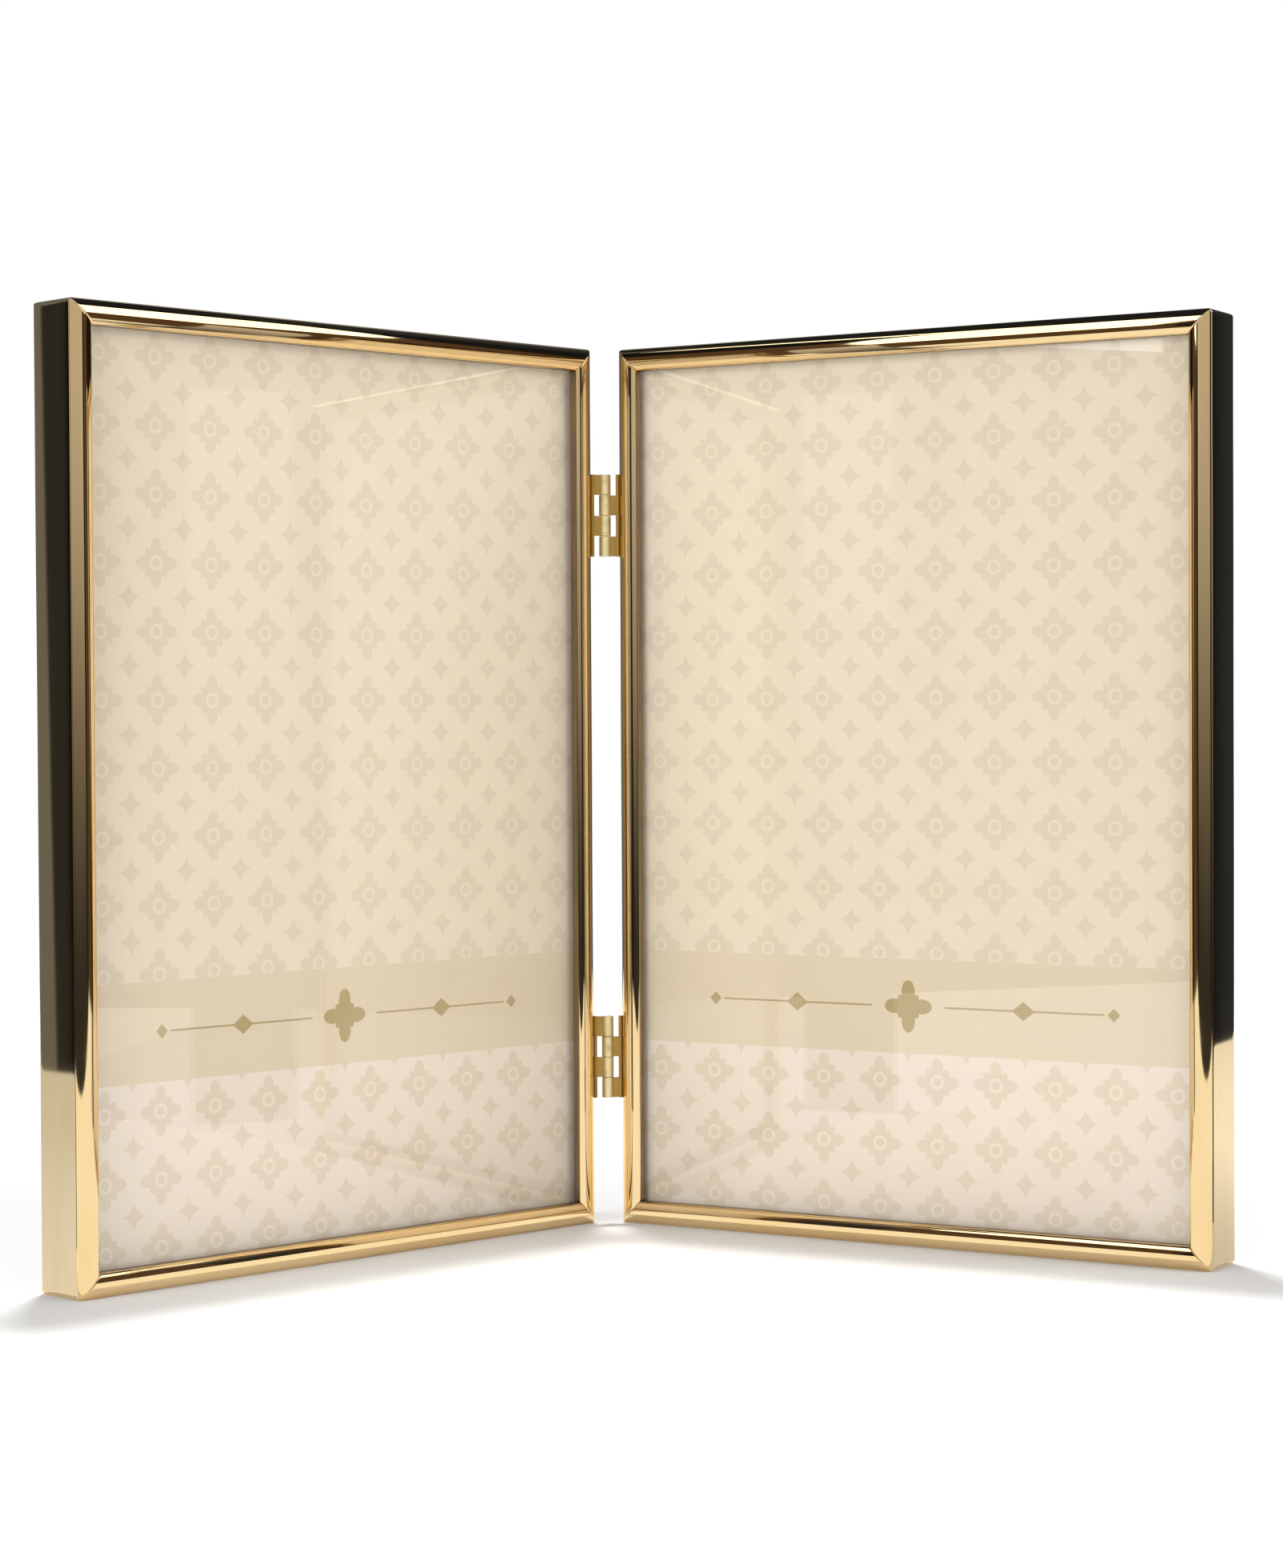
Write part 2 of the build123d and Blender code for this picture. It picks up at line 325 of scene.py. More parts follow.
def rail_surface(length):
    """The whole rail as a grid of (inward, along, back): columns go round the sheet's section, out
    along one face and home along the other, and rows go along from mitre to mitre. The outer face
    is shifted towards the inner one by a share that is largest at the joint."""
    zone = zone_shares[:, None]
    middle = np.linspace(0, 1, middle_columns)[:, None]
    faces = []
    for section in (outer_face, inner_face[::-1]):
        inward = section[:, 0][None, :]
        start_x, start_along = corner_path(inward, zone)
        begin = np.maximum(inward, corner_cut) + corner_zone
        middle_along = begin + (length - 2 * begin) * middle
        x = np.concatenate((start_x, inward + 0 * middle_along, start_x[::-1]))
        along = np.concatenate((start_along, middle_along, length - start_along[::-1]))
        back = section[:, 1][None, :] + 0 * along
        faces.append((x, along, back))
    (x, along, back), (x_in, along_in, back_in) = faces
    to_end = np.minimum(along - x, length - along - x)
    wave = np.sin(along * 2 * math.pi / wave_length) * np.clip(to_end / wave_fade, 0, 1)
    dip = mitre_dip_share * np.clip(1 - to_end / mitre_dip_reach, 0, 1) ** 2 + wave_height / wall * wave
    x = x + (x_in[:, ::-1] - x) * dip
    back = back + (back_in[:, ::-1] - back) * dip
    pairs = ((x, x_in), (along, along_in), (back, back_in))
    return np.stack([np.hstack(pair) for pair in pairs], axis=-1)


RAILS = {
    "outer_stile": ((leaf_width, leaf_height), (-1, 0), (0, -1), leaf_height),
    "inner_stile": ((0, 0), (1, 0), (0, 1), leaf_height),
    "top_rail": ((0, leaf_height), (0, -1), (1, 0), leaf_width),
    "bottom_rail": ((leaf_width, 0), (0, 1), (-1, 0), leaf_width),
}


def build_rail(side_name, rail_name):
    """Places a rail's grid in its leaf and closes both mitred ends with a strip of quads."""
    side = SIDES[side_name]
    corner, inward, direction, length = RAILS[rail_name]
    grid = rail_surface(length)
    rows, columns = grid.shape[:2]
    across = corner[0] + inward[0] * grid[..., 0] + direction[0] * grid[..., 1]
    height = corner[1] + inward[1] * grid[..., 0] + direction[1] * grid[..., 1]
    points = leaf_points(side, across, height, grid[..., 2])
    walls = grid_quads(rows - 1, columns, columns)
    face = columns // 2
    strip = np.arange(face - 1)
    cap = np.stack((strip, strip + 1, columns - 2 - strip, columns - 1 - strip), axis=1)
    quads = np.concatenate((walls, cap[:, ::-1], cap + (rows - 1) * columns))
    around = girth(np.concatenate((outer_face, inner_face[::-1], outer_face[:1])))
    along = np.concatenate((grid[..., 1], grid[:, :1, 1]), axis=1)
    map_points = np.stack((along, around[None, :] + 0 * along), axis=-1)
    map_walls = grid_quads(rows - 1, columns, columns + 1)
    map_cap = np.concatenate((cap[:, ::-1], cap + (rows - 1) * (columns + 1)))
    map_quads = np.concatenate((map_walls, map_cap))
    name = f"{side_name}_{rail_name}"
    return make_piece(
        f"{name}_moulding", points, quads, f"{side_name}_leaf", "polished_gold", [name],
        map_points, map_quads, flip=side < 0,
    )


rails = [build_rail(side_name, rail_name) for side_name in SIDES for rail_name in RAILS]
print("rails", len(rails), "of", len(rails[0].data.polygons), "quads")

# %% [markdown]
# The paper print and the velveteen are sheets. Each is a closed slab with a grid of points on both
# faces, so that it can be wavy: the paper bows back from the glass by a hair, never into it, and the
# pile of the velveteen is combed into soft hills.

# %% Sheets
def build_sheet(name, side_name, node, slot, cells, relief, tuck=0.0):
    """A slab in place of a sheet node. Front and back are the same grid of across and height, and
    relief(across, height, size) says how far back each face moves. Map units are metres from the
    lower left corner as the viewer sees the front. The rim is drawn in by tuck at the back."""
    side = SIDES[side_name]
    low, high = leaf_measure(node, side)
    u = np.linspace(0, 1, cells[0] + 1)
    v = np.linspace(0, 1, cells[1] + 1)
    share_u, share_v = np.meshgrid(u, v)
    across = low[0] + (high[0] - low[0]) * share_u
    height = low[1] + (high[1] - low[1]) * share_v
    front_shift, back_shift = relief(across - low[0], height - low[1], high - low)
    drawn = tuck * np.sign(share_u - 0.5) * ((share_u == 0) | (share_u == 1))
    risen = tuck * np.sign(share_v - 0.5) * ((share_v == 0) | (share_v == 1))
    front = leaf_points(side, across, height, low[2] + front_shift)
    back = leaf_points(side, across - drawn, height - risen, high[2] + back_shift)
    rows, columns = share_u.shape
    count = rows * columns
    face = grid_quads(rows - 1, columns - 1, columns)
    ring = np.concatenate((
        np.arange(columns),
        np.arange(1, rows) * columns + columns - 1,
        (rows - 1) * columns + np.arange(columns - 2, -1, -1),
        np.arange(rows - 2, 0, -1) * columns,
    ))
    after = np.roll(ring, -1)
    rim = np.stack((ring, ring + count, after + count, after), axis=1)
    quads = np.concatenate((face, face[:, ::-1] + count, rim))
    from_left = across - low[0] if side > 0 else high[0] - across
    flat_map = np.stack((from_left, height - low[1]), axis=-1)
    map_points = np.concatenate((flat_map, flat_map))
    return make_piece(
        name, np.concatenate((front, back)), quads, f"{side_name}_leaf", slot, [node],
        map_points, quads, flip=side < 0,
    )


paper_gap = 0.02 * mm
paper_bow = 0.05 * mm
paper_waves = (3, 2)
paper_cells = (40, 56)
PILE_WAVES = ((11 * mm, 0.3), (4.7 * mm, 1.9), (2.9 * mm, 4.1))
pile_stretch = 1.3
pile_height = 0.018 * mm
pile_rise = 0.02 * mm
pile_tuck = 0.15 * mm
pile_cells = (126, 177)


def paper_relief(across, height, size):
    """Squares of crossed waves, which hold the front face off the glass and leave the back flat."""
    sideways = np.sin(across / size[0] * paper_waves[0] * math.pi)
    bow = sideways * np.sin(height / size[1] * paper_waves[1] * math.pi)
    return paper_gap + bow**2 * paper_bow, 0 * bow


def pile_relief(across, height, size):
    """Hills of the pile on the back face alone: the sum of crossed sines of three lengths."""
    waves = sum(
        np.sin(across * 2 * math.pi / length + turn)
        * np.sin(height * 2 * math.pi / (pile_stretch * length) + 2 * turn)
        for length, turn in PILE_WAVES
    )
    return 0 * waves, pile_height * waves - pile_rise


for side_name in SIDES:
    build_sheet(
        f"{side_name}_printed_paper", side_name, f"{side_name}_print", "print_paper", paper_cells,
        paper_relief,
    )
    pile = build_sheet(
        f"{side_name}_velveteen_pile", side_name, f"{side_name}_velveteen", "velveteen", pile_cells,
        pile_relief, pile_tuck,
    )
    low, high = leaf_measure(f"{side_name}_velveteen", SIDES[side_name])

# %% [markdown]
# A finish is a small network of shader nodes. Wiring it by hand hides the idea, so one class wraps
# a node's socket and lets plain Python sums build the network: an expression adds its Math nodes.
# Every other node comes from one method, which takes its type, its settings and its inputs.

# %% Shader sums
class Field:
    """A value that varies over a surface: a shader socket that can be used in sums."""

    def __init__(self, socket):
        self.socket = socket

    def node(self, kind, settings=None, inputs=None, output=0):
        """Adds a node of this kind, sets it up, fills its inputs by name or number, and returns
        one output. A ramp's stops are (place, colour) pairs."""
        made = self.socket.id_data.nodes.new(kind)
        for key, value in (settings or {}).items():
            if key == "stops":
                while len(made.color_ramp.elements) < len(value):
                    made.color_ramp.elements.new(0.5)
                for element, (place, colour) in zip(made.color_ramp.elements, value):
                    element.position = place
                    element.color = (*colour, 1)
            else:
                setattr(made, key, value)
        for key, value in (inputs or {}).items():
            if isinstance(value, Field):
                self.socket.id_data.links.new(value.socket, made.inputs[key])
            else:
                made.inputs[key].default_value = value
        return Field(made.outputs[output]) if made.outputs else None

    def sum(self, operation, *values):
        numbers = dict(enumerate(values))
        return self.node("ShaderNodeMath", {"operation": operation}, numbers)

    def __add__(self, other):
        return self.sum("ADD", self, other)

    def __sub__(self, other):
        return self.sum("SUBTRACT", self, other)

    def __rsub__(self, other):
        return self.sum("SUBTRACT", other, self)

    def __mul__(self, other):
        return self.sum("MULTIPLY", self, other)

    def __truediv__(self, other):
        return self.sum("DIVIDE", self, other)

    def __rtruediv__(self, other):
        return self.sum("DIVIDE", other, self)

    def __pow__(self, other):
        return self.sum("POWER", self, other)

    def __mod__(self, other):
        return self.sum("FLOORED_MODULO", self, other)

    def __abs__(self):
        return self.sum("ABSOLUTE", self)

    __radd__ = __add__
    __rmul__ = __mul__

    def sin(self):
        return self.sum("SINE", self)

    def cos(self):
        return self.sum("COSINE", self)

    def parts(self):
        """The x, y and z of a vector."""
        outputs = self.node("ShaderNodeSeparateXYZ", {}, {0: self}).socket.node.outputs
        return tuple(Field(output) for output in outputs)

    def most(self, other):
        return self.sum("MAXIMUM", self, other)

    def step(self, start, end):
        """0 before start, 1 after end, and a smooth change between them."""
        inputs = {0: self, 1: start, 2: end, 3: 0.0, 4: 1.0}
        return self.node("ShaderNodeMapRange", {"interpolation_type": "SMOOTHSTEP"}, inputs)

    def colours(self, low, high):
        """The colour low where this is 0, high where it is 1, and mixtures between."""
        low, high = (c if isinstance(c, Field) else (*c, 1) for c in (low, high))
        settings = {"data_type": "RGBA", "clamp_factor": True}
        return self.node("ShaderNodeMix", settings, {0: self, 6: low, 7: high}, output=2)


def srgb(red, green, blue):
    """Linear colour of screen values from 0 to 255: the standard curve's power of 2.4."""
    shares = np.array((red, green, blue)) / 255
    linear = np.where(shares > 0.04045, ((shares + 0.055) / 1.055) ** 2.4, shares / 12.92)
    return tuple(float(x) for x in linear)


print("mid grey is", round(srgb(188, 188, 188)[0], 3))

# %% [markdown]
# Every finish starts the same way: an empty material, its surface coordinates, and at the end one
# Principled shader. Coordinates are the object's own, in metres, or the piece's texture map.
# Constant values go straight to the shader's sockets, and only what varies is linked.

# %% Starting and ending a finish
materials = {}


def start_finish(name, source="Object"):
    """A new material, and its coordinates as a Field."""
    material = bpy.data.materials.new(name)
    material.use_nodes = True
    material.node_tree.nodes.clear()
    materials[name] = material
    coordinates = material.node_tree.nodes.new("ShaderNodeTexCoord")
    return Field(coordinates.outputs[source])


def end_finish(surface):
    """Links a shader to the material's output."""
    surface.node("ShaderNodeOutputMaterial", {}, {"Surface": surface})


def noise(place, scale, stretch=(1, 1, 1), detail=3.0):
    """Smooth random clouds from 0 to 1, so many a metre, closer together along stretched ways."""
    mapped = place.node("ShaderNodeMapping", {}, {"Vector": place, "Scale": stretch})
    return mapped.node("ShaderNodeTexNoise", {}, {"Vector": mapped, "Scale": scale, "Detail": detail})


def bump(height, distance, strength, normal=None):
    """A surface normal tilted by a height field, its full height being this many metres."""
    inputs = {"Height": height, "Distance": distance, "Strength": strength}
    if normal is not None:
        inputs["Normal"] = normal
    return height.node("ShaderNodeBump", {}, inputs)


# %% [markdown]
# The moulding is steel plated a pale, warm gold and polished like a mirror. Its colour is mostly
# what it reflects. The finish adds what handling leaves: faint cloudy smears that dull the mirror,
# and hair scratches along the rail. The texture map runs along the rail, and so do the scratches.
# Its other way tells where the lip begins: there the metal is rough, and its colour is a painted
# dark brown shade, for the lip wall stands in the shade of the opening.

# %% Polished gold
gold_colour = (0.97, 0.75, 0.43)
gold_deep = (0.93, 0.685, 0.36)
gold_painted_shade = (0.30, 0.22, 0.14)
lip_fade = 0.3 * mm


def polished_gold():
    place = start_finish("polished_gold", "UV")
    clouds = noise(place, 26, (1, 3, 1), detail=4)
    smears = clouds.step(0.52, 0.74)
    streaks = noise(place, 900, (0.03, 1, 1), detail=2)
    scratches = streaks.step(0.66, 0.72) * noise(place, 90, (1, 2, 1)).step(0.5, 0.7)
    tint = noise(place, 60, (0.4, 2, 1)).step(0.35, 0.75)
    lip = place.parts()[1].step(lip_start, lip_start + lip_fade)
    # On the lip the colour turns to a painted dark brown shade.
    colour = (lip * (0.75 + streaks * 0.4)).colours(tint.colours(gold_colour, gold_deep), gold_painted_shade)
    rough = 0.035 + smears * 0.05 + scratches * 0.12 + lip * 0.3
    relief = bump(noise(place, 140, (0.4, 1, 1), detail=1), 0.02 * mm, 0.10)
    relief = bump(scratches, 0.002 * mm, 0.3, relief)
    end_finish(place.node(
        "ShaderNodeBsdfPrincipled", {},
        {"Base Color": colour, "Metallic": 1.0, "Roughness": rough, "Normal": relief},
    ))


polished_gold()
print("finishes so far", list(materials))

# %% [markdown]
# The hinges are rolled from brass strip and only brushed, so they spread light where the moulding
# mirrors it. Fine lines run round the knuckles, across the height. The middle of each knuckle keeps
# the bright colour as a painted highlight, and painted shade darkens it towards the necks.
# A stronger noise on the colour reads as tarnished patches, a weaker one on the roughness as wear.

# %% Satin brass and brassed steel
brush_scale = 2600
# Half width of the painted highlight at a knuckle's middle, and where its painted shade is full.
painted_highlight_half = 0.15 * mm
painted_shade_end = 1.2 * mm


def brushed_metal(name, bright, dark, rough, line_stretch, metallic=1.0, painted_shade=None):
    """A metal with clouds of tarnished colour between two colours and brushing lines in its
    roughness. Under lacquer it is less than fully metallic, and spreads some light as paint does.
    `painted_shade`, if given, is the share of the dark colour painted on a place as shade, from its
    x, y and z."""
    place = start_finish(name)
    lines = noise(place, brush_scale, line_stretch, detail=2)
    tarnish_and_shade = noise(place, 420, detail=4).step(0.42, 0.78)
    # Painted shade by position is laid over the tarnished clouds.
    if painted_shade:
        tarnish_and_shade = 1 - (1 - tarnish_and_shade * 0.5) * (1 - painted_shade(*place.parts()))
    pits = noise(place, 3400, detail=1).step(0.7, 0.8)
    colour = tarnish_and_shade.colours(bright, dark)
    colour = (pits * 0.5).colours(colour, tuple(0.5 * c for c in dark))
    roughness = rough + lines * 0.12 + tarnish_and_shade * 0.08
    relief = bump(lines, 0.012 * mm, 0.35)
    end_finish(place.node(
        "ShaderNodeBsdfPrincipled", {},
        {"Base Color": colour, "Metallic": metallic, "Roughness": roughness, "Normal": relief},
    ))


def hinge_painted_shade(x, y, z):
    """The share of painted shade: none at the middle of the knuckles, which stay bright as a painted
    highlight, and full from there to the necks.
    """
    return abs(x).step(painted_highlight_half, painted_shade_end)


# The hinges get a painted highlight at each knuckle's middle and painted shade towards the necks.
brushed_metal(
    "satin_brass", (1, 0.88, 0.50), (0.50, 0.31, 0.07), 0.26, (0.15, 0.15, 1),
    metallic=0.4, painted_shade=hinge_painted_shade,
)
brushed_metal("brassed_steel", (0.80, 0.63, 0.34), (0.55, 0.42, 0.22), 0.22, (1, 1, 0.12))
brushed_metal("plain_steel", (0.56, 0.57, 0.58), (0.38, 0.37, 0.36), 0.34, (1, 0.2, 1))
print("finishes so far", list(materials))

# %% [markdown]
# Glass is a clear Principled shader. A lamp's light would have to bend through it to reach the
# paper, which a path tracer seldom finds, so rays that carry light pass straight through instead.
# A wiped smear in the roughness keeps the pane from looking like nothing at all.

# %% Glass
def clear_glass():
    place = start_finish("glass")
    smear = noise(place, 30, (1, 1, 0.5), detail=5).step(0.55, 0.85)
    pane = place.node(
        "ShaderNodeBsdfPrincipled", {},
        {
            "Base Color": (0.985, 0.995, 0.985, 1), "Roughness": smear * 0.03, "IOR": 1.5,
            "Transmission Weight": 1.0,
        },
    )
    open_air = place.node("ShaderNodeBsdfTransparent", {}, {"Color": (0.96, 0.975, 0.965, 1)})
    path = place.node("ShaderNodeLightPath")
    shadow = Field(path.socket.node.outputs["Is Shadow Ray"])
    diffuse = Field(path.socket.node.outputs["Is Diffuse Ray"])
    end_finish(place.node("ShaderNodeMixShader", {}, {0: shadow.most(diffuse), 1: pane, 2: open_air}))


clear_glass()

# %% [markdown]
# The print is cream paper with a tone-on-tone pattern, a plain band low down and a small ornament on
# it. It could be drawn with curves, but two colours and a few distances are enough: each cell of a
# square grid holds a four-petalled rosette, with a star between each four, as old diapers have.
# Everything is measured in metres on the sheet's own map.

# %% Printed paper
print_width = 127 * mm
cell = 12.7 * mm
band_low = 37.2 * mm
band_high = 56.0 * mm
band_blur = 0.08 * mm
fade_low = 36 * mm
fade_high = 66 * mm
diagonal = 0.7071
flower_size, flower_depth = 0.37, 0.72
leaf_size, leaf_depth = 0.27, 0.86
ring_radius, ring_half = 0.095, 0.018
star_size, star_power = 0.40, 0.62
rosette_size = 5.2 * mm
rosette_spread = 7.0 * mm
rule_half = 0.16 * mm
rule_start = 8.0 * mm
rule_end = 42.0 * mm
lozenge_place, lozenge_half = 25 * mm, 2.4 * mm
tip_place, tip_half = 44 * mm, 1.3 * mm
cream = srgb(250, 230, 208)
cream_low = srgb(252, 232, 219)
motif_tone = srgb(238, 218, 196)
band_tone = srgb(238, 217, 192)
ink_gold = srgb(186, 162, 112)


def petals(x, y, size, count, depth):
    """1 inside a flower: the distance to the centre is compared with a radius that swells and
    shrinks with the cosine of count times the angle."""
    radius = (x * x + y * y) ** 0.5
    angle = x.sum("ARCTAN2", y, x)
    reach = size * (1 - depth + depth * abs((angle * (count / 2)).cos()) ** 1.6)
    return (reach - radius).step(-0.02, 0.02)


def diaper(u, v):
    """1 on the pattern's motifs, in cells of a square grid."""
    x = (u / cell) % 1.0 - 0.5
    y = (v / cell) % 1.0 - 0.5
    radius = (x * x + y * y) ** 0.5
    flower = petals(x, y, flower_size, 4, flower_depth)
    leaves = petals((x + y) * diagonal, (x - y) * diagonal, leaf_size, 4, leaf_depth)
    ring = (abs(radius - ring_radius) - ring_half).step(0.012, -0.004)
    inside = flower.most(leaves) * (1 - ring)
    corner_x = (u / cell + 0.5) % 1.0 - 0.5
    corner_y = (v / cell + 0.5) % 1.0 - 0.5
    star = (star_size - abs(corner_x) ** star_power - abs(corner_y) ** star_power).step(-0.02, 0.02)
    return inside.most(star)


def ornament(u, v):
    """1 on the gold drawing of the band: a rosette in a ring, a rule to each side of it and a
    lozenge at each rule's end."""
    x = u - print_width / 2
    y = v - (band_low + band_high) / 2
    side = abs(x)
    centre = petals(x / rosette_size, y / rosette_size, 1.0, 4, 0.66)
    leaves = petals((x + y) / rosette_spread, (x - y) / rosette_spread, 0.62, 4, 0.8)
    rule = (abs(y) - rule_half).step(0.06 * mm, -0.02 * mm)
    rule = rule * side.step(rule_start, rule_start + 0.1 * mm) * side.step(rule_end + 0.1 * mm, rule_end)
    lozenge = (abs(side - lozenge_place) + abs(y) * 1.3 - lozenge_half).step(0.08 * mm, -0.02 * mm)
    tip = (abs(side - tip_place) + abs(y) - tip_half).step(0.08 * mm, -0.02 * mm)
    return centre.most(leaves).most(rule).most(lozenge).most(tip)


def printed_paper():
    place = start_finish("print_paper", "UV")
    u, v, _ = place.parts()
    fibres = noise(place, 1800, detail=3)
    cloud = noise(place, 25, detail=2)
    # The ground is lighter and pinker towards the bottom.
    ground = v.step(fade_low, fade_high).colours(cream_low, cream)
    faded = diaper(u, v) * (0.82 + fibres * 0.25)
    patterned = faded.colours(ground, motif_tone)
    above = v.step(band_low - band_blur, band_low + band_blur)
    band = above * v.step(band_high + band_blur, band_high - band_blur)
    papered = band.colours(patterned, band_tone)
    inked = (ornament(u, v) * (0.9 + fibres * 0.1)).colours(papered, ink_gold)
    grain = (fibres * 0.035 + cloud * 0.03).colours(inked, srgb(190, 170, 140))
    relief = bump(fibres, 0.02 * mm, 0.25)
    end_finish(place.node(
        "ShaderNodeBsdfPrincipled", {},
        {
            "Base Color": grain, "Roughness": 0.55 + fibres * 0.2, "Normal": relief,
            "Specular IOR Level": 0.3,
        },
    ))


printed_paper()
print("finishes so far", list(materials))

# %% [markdown]
# Behind the print lie a grey card and a hardboard back, whose edges show only from behind or when
# the leaf is opened. Pulped fibres of several lengths give both their mottled look.

# %% Card and board
def pulp(name, light, dark, long_way, fleck):
    """Pulp board: clouds, lying fibres and dark flecks between two colours."""
    place = start_finish(name)
    clouds = noise(place, 120, detail=5).step(0.3, 0.7)
    fibres = noise(place, 1500, long_way, detail=3)
    flecks = noise(place, 2600, detail=1).step(0.68, 0.74)
    colour = (clouds * 0.55 + fibres * 0.45).colours(light, dark)
    colour = (flecks * 0.6).colours(colour, fleck)
    relief = bump(fibres, 0.06 * mm, 0.5)
    end_finish(place.node(
        "ShaderNodeBsdfPrincipled", {},
        {"Base Color": colour, "Roughness": 0.75 + fibres * 0.2, "Normal": relief},
    ))


pulp("grey_card", srgb(176, 171, 160), srgb(133, 128, 118), (1, 1, 3), srgb(92, 84, 74))
pulp("hardboard", srgb(132, 92, 60), srgb(86, 56, 35), (1, 1, 4), srgb(52, 34, 22))
print("finishes so far", list(materials))

# %% [markdown]
# Velveteen is black cotton with a short pile. It drinks the light head on and glows softly at a
# glancing angle, which is what the sheen of the Principled shader is for. Brushed patches, where
# the pile lies over, are a little lighter, and fine noise stands for the single tufts.

# %% Velveteen
weave_pitch = 0.7 * mm


def velveteen():
    place = start_finish("velveteen", "UV")
    combed = noise(place, 45, (1, 0.5, 1), detail=4).step(0.35, 0.7)
    tufts = noise(place, 4200, detail=2)
    weave = (place.parts()[1] * (2 * math.pi / weave_pitch)).sin() * 0.5 + 0.5
    colour = (combed * 0.6 + tufts * 0.4).colours(srgb(21, 20, 21), srgb(47, 45, 46))
    relief = bump(tufts * 0.8 + weave * 0.2, 0.15 * mm, 0.8)
    end_finish(place.node(
        "ShaderNodeBsdfPrincipled", {},
        {
            "Base Color": colour, "Roughness": 0.85 + tufts * 0.15, "Normal": relief,
            "Specular IOR Level": 0.15, "Sheen Weight": 0.35, "Sheen Roughness": 0.4,
        },
    ))


velveteen()
print("finishes", sorted(materials))

# %% [markdown]
# The nodes that keep their own mesh take their finish by a word in their name, and the new pieces
# by the slot they were given.

# %% Give out the finishes
def dress(piece, slot):
    """One material on the whole piece."""
    piece.data.materials.clear()
    piece.data.materials.append(materials[slot])


NODE_FINISHES = (
    ("_hinge_", "satin_brass"),
    ("turn_button", "brassed_steel"),
    ("button_studs", "brassed_steel"),
    ("corner_keys", "plain_steel"),
    ("glass", "glass"),
    ("filler_card", "grey_card"),
    ("backing_board", "hardboard"),
)
for name, node in frame["nodes"].items():
    for word, finish in NODE_FINISHES:
        if word in name:
            dress(node, finish)
for piece in bpy.data.objects:
    if piece.get("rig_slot"):
        dress(piece, piece["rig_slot"])
print("undressed", [n for n, o in frame["nodes"].items() if not o.data.materials and not o.hide_render])

# %% [markdown]
# The object stands on a pale floor in plain soft light. The floor glows by itself for the rays that
# show it, just enough to reach white where the lamps and the sky leave it grey: little near the
# object, where the lamps reach, and more further out. So it is white all over, and the shadow
# stays. The sky is an even pale dome for everything matt, and plain white where it is seen.

# %% Floor and sky
def light_path(field, *names):
    """The sum of these outputs of the Light Path node: 1 for rays of any of the kinds named."""
    path = field.node("ShaderNodeLightPath").socket.node
    total = Field(path.outputs[names[0]])
    for name in names[1:]:
        total = total + Field(path.outputs[name])
    return total


floor_half = 3.0
floor_albedo = 0.8
sky_level = 0.36
overhead_share, overhead_reach = 0.5, 2.5
side_share, side_spread = 0.19, 0.6
SEEN = ("Is Camera Ray", "Is Glossy Ray", "Is Transmission Ray")


def card_shape(name, corners):
    """A flat card from its corners."""
    mesh = bpy.data.meshes.new(name)
    mesh.from_pydata([tuple(corner) for corner in corners], [], [tuple(range(len(corners)))])
    card = bpy.data.objects.new(name, mesh)
    scene.collection.objects.link(card)
    return card


square = ((-1, -1), (1, -1), (1, 1), (-1, 1))
floor = card_shape("floor", [(x * floor_half, y * floor_half, 0) for x, y in square])
ground = start_finish("floor")
paint = ground.node("ShaderNodeBsdfDiffuse", {}, {"Color": (floor_albedo,) * 3 + (1,)})
ground_x, ground_y, _ = ground.parts()


def lamps_reach(share, reach):
    """What lamps give the floor: share / (1 + (x^2 + y^2) / reach^2)^2."""
    spread = 1.0 + (ground_x * ground_x + ground_y * ground_y) / reach**2
    return share / (spread * spread)


lit = floor_albedo * sky_level
lit = lit + lamps_reach(overhead_share, overhead_reach) + lamps_reach(side_share, side_spread)
floor_fill = 1.0 - lit - noise(ground, 40) * 0.01
fill = ground.node("ShaderNodeEmission", {}, {"Strength": light_path(ground, *SEEN) * floor_fill})
end_finish(ground.node("ShaderNodeAddShader", {}, {0: paint, 1: fill}))
floor.data.materials.append(materials["floor"])

world = bpy.data.worlds.new("studio")
scene.world = world
world.use_nodes = True
sky_tree = world.node_tree
sky_tree.nodes.clear()
sky = Field(sky_tree.nodes.new("ShaderNodeLightPath").outputs[0])
ambient = sky.node("ShaderNodeBackground", {}, {"Color": (1, 0.985, 0.965, 1), "Strength": sky_level})
white = sky.node("ShaderNodeBackground", {}, {"Color": (1, 1, 1, 1), "Strength": 1.0})
shown = sky.node("ShaderNodeMixShader", {}, {0: light_path(sky, *SEEN), 1: ambient, 2: white})
sky.node("ShaderNodeOutputWorld", {}, {"Surface": shown})
scene.view_settings.view_transform = "Standard"
print("floor and sky set")

# %% [markdown]
# A mirror shows the room, so the polished metal needs a studio around it: dark flags at both sides
# with a warm shade at their front and a soft box high up, a dim panel on the camera's side that
# fades towards the floor, a plain back, and a dark ceiling. A small fin by each outer stile carries
# the panel's glow round its shoulder, and three cards just over the floor keep the rails' lower
# reflections pale. These cards are seen by reflections and through glass alone. They give matt
# surfaces no light, and they hide nothing from the camera or the lamps.
# A card's glow may vary over it, from the same sums as the finishes.

# %% Reflected cards
side_reach = 0.49
near_y = -0.385
far_y = 0.55
ceiling = 1.0
box_x = 0.485
box_glow = 2.2
shade_x = 0.487
shade_front = -0.38
shade_height = 0.46
card_height = 0.4 * mm
fin_height = 0.19
floor_card_front = -0.16
floor_card_back = 0.4
flag_blue = (0.64, 0.74, 1.0)
shade_warm = (1, 0.6, 0.35)
box_white = (1, 0.99, 0.98)
back_blue = (0.85, 0.9, 1.0)
ground_warm = (1, 0.98, 0.91)


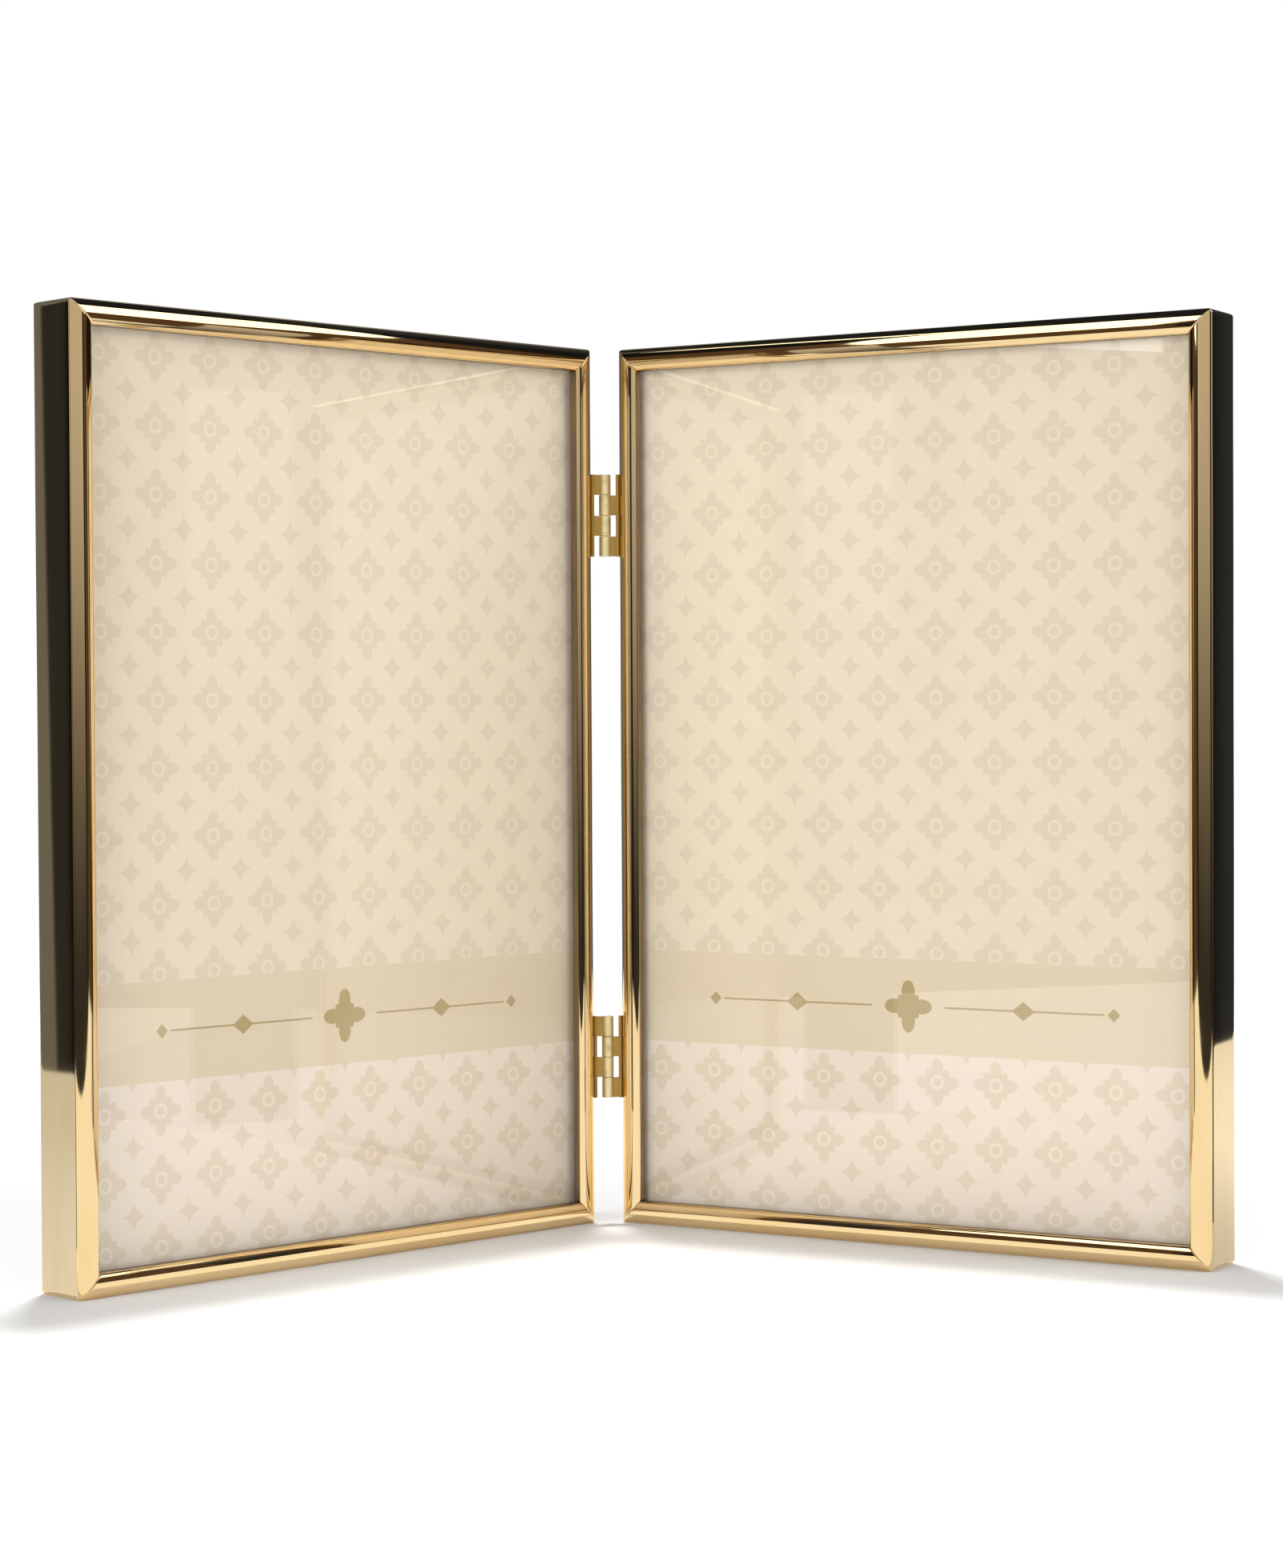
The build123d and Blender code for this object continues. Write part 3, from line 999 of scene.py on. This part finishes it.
def reflected_card(name, corners, colour, glow):
    """A card that only mirror-like surfaces see. Its glow is a function of its x, y and z."""
    card = card_shape(name, corners)
    place = start_finish(name)
    shine = place.node("ShaderNodeEmission", {}, {"Color": (*colour, 1), "Strength": glow(*place.parts())})
    end_finish(shine)
    card.data.materials.append(materials[name])
    card.visible_camera = False
    card.visible_diffuse = False
    card.visible_shadow = False


def standing(name, start, end, low, high, colour, glow):
    """A card standing on edge between two places of the floor."""
    corners = [(*start, low), (*end, low), (*end, high), (*start, high)]
    reflected_card(name, corners, colour, glow)


def even(level):
    """A glow that is the same all over the card."""
    return lambda x, y, z: level + 0 * z


def left_glow(x, y, z):
    """Black near the front, dark grey further back, and dim past a line that leans backwards."""
    return 0.009 + y.step(0.050, 0.066) * 0.020 + (y - z * 0.055).step(0.0750, 0.0785) * 0.135


def right_glow(x, y, z):
    """Nearly black, and dark grey far back."""
    return 0.014 + y.step(0.15, 0.21) * 0.026


def panel_glow(x, y, z):
    """Dark at both ends, dim in the middle, and rising with the height."""
    return 0.012 + (0.37 - abs(x)).step(0.0, 0.08) * (0.02 + z.step(0.02, 0.24) * 0.52)


def fin_glow(x, y, z):
    """The panel's rise with the height, drawn together because a fin stands nearer."""
    return 0.03 + z.step(0.045, 0.200) * 0.50


def shade_glow(x, y, z):
    """The flags' warm front, which reaches further back above the height of the leaves."""
    reach = 0.10 - z.step(0.24, 0.26) * 0.10
    return 0.012 + (0.0 - y - reach).step(0.0, 0.05) * 0.072


def back_glow(x, y, z):
    """Dim, and darker towards both corners."""
    return 0.10 + (0.45 - abs(x)).step(0.0, 0.35) * 0.22


def left_floor_glow(x, y, z):
    """Shaded beside and behind the leaf, and less so close to it and in front."""
    return 0.96 - y.step(-0.10, 0.03) * 0.10 - abs(x).step(0.15, 0.40) * 0.12


def right_floor_glow(x, y, z):
    """Shaded in front of the leaf, and bright behind it."""
    return 0.66 + y.step(-0.05, 0.06) * 0.38 - abs(x).step(0.34, 0.49) * 0.10


panel_warm = (1, 0.94, 0.88)
shade_blue = (0.88, 0.93, 1.0)
standing("left_flag", (-side_reach, near_y), (-side_reach, far_y), 0, ceiling, shade_blue, left_glow)
standing("right_flag", (side_reach, far_y), (side_reach, near_y), 0, ceiling, flag_blue, right_glow)
standing("front_panel", (-side_reach, near_y), (side_reach, near_y), 0, ceiling, panel_warm, panel_glow)
standing("back_panel", (side_reach, far_y), (-side_reach, far_y), 0, ceiling, back_blue, back_glow)
standing("left_fin", (-0.141, -0.093), (-0.157, -0.074), 0, fin_height, panel_warm, fin_glow)
standing("right_fin", (0.147, -0.087), (0.162, -0.063), 0, fin_height, panel_warm, fin_glow)
top = [(-side_reach, near_y), (side_reach, near_y), (side_reach, far_y), (-side_reach, far_y)]
reflected_card("dark_ceiling", [(x, y, ceiling) for x, y in top], flag_blue, even(0.02))

RIGHT_BOX = (
    (-0.37, 0.26), (-0.17, 0.26), (-0.12, 0.34), (-0.085, 0.38), (-0.025, 0.50), (0.06, 0.70), (-0.37, 0.72),
)
LEFT_BOX = ((-0.25, 0.245), (-0.37, 0.245), (-0.37, 0.84), (0.06, 0.85), (0.06, 0.80), (-0.155, 0.74))
for name, x, outline_yz in (("right_box", box_x, RIGHT_BOX), ("left_box", -box_x, LEFT_BOX)):
    reflected_card(name, [(x, y, z) for y, z in outline_yz], box_white, even(box_glow))
for name, x in (("right_shade", shade_x), ("left_shade", -shade_x)):
    corners = [(x, shade_front, 0), (x, 0, 0), (x, 0, shade_height), (x, shade_front, shade_height)]
    reflected_card(name, corners, shade_warm, shade_glow)

floor_bend = (0.20, floor_card_front)
GROUND_FRONT = (
    (0, 0.034), (0.109, -0.052), floor_bend, (side_reach, floor_card_front), (side_reach, near_y),
)
BESIDE_LEAF = (
    (0.107, -0.0465), floor_bend, (side_reach, floor_card_front), (side_reach, floor_card_back),
    (0.125, floor_card_back), (0.1145, -0.033),
)
corners = [(x, y, card_height) for x, y in GROUND_FRONT]
corners += [(-x, y, card_height) for x, y in GROUND_FRONT[:0:-1]]
reflected_card("front_floor_card", corners, ground_warm, even(1.0))
for side_name, glow, colour in (
    ("left", left_floor_glow, (0.86, 0.91, 1.0)), ("right", right_floor_glow, (0.95, 0.97, 1.0)),
):
    side = SIDES[side_name]
    corners = [(side * x, y, card_height) for x, y in BESIDE_LEAF]
    reflected_card(f"{side_name}_floor_card", corners, colour, glow)

# %% [markdown]
# The matt surfaces are lit by a soft lamp at each side, for the leaf that faces it, so the inner
# stiles and the top rails throw a narrow shadow on the paper. One small lamp high overhead, a
# little behind, draws the grey line of shadow along the foot of both leaves. Mirrors and glass have
# the cards instead, so the lamps are hidden from them.

# %% Lamps
LAMPS = (
    ("right_lamp", (0.50, -0.28, 0.31), (-0.05, 0, 0.09), 0.34, 1.6),
    ("left_lamp", (-0.44, -0.40, 0.27), (0.05, 0, 0.09), 0.34, 1.92),
    ("overhead", (0, 0.38, 2.5), (0, 0, 0), 0.20, 43),
)


def area_lamp(name, place, target, size, watts):
    """A square soft lamp at a place, turned to face a target, left out of mirror reflections."""
    data = bpy.data.lights.new(name, "AREA")
    data.size = size
    data.energy = watts
    lamp = bpy.data.objects.new(name, data)
    scene.collection.objects.link(lamp)
    facing = (Vector(target) - Vector(place)).to_track_quat("-Z", "Y").to_matrix().to_4x4()
    lamp.matrix_world = Matrix.Translation(place) @ facing
    lamp.visible_glossy = False
    lamp.visible_transmission = False
    lamp.visible_camera = False


for lamp_values in LAMPS:
    area_lamp(*lamp_values)
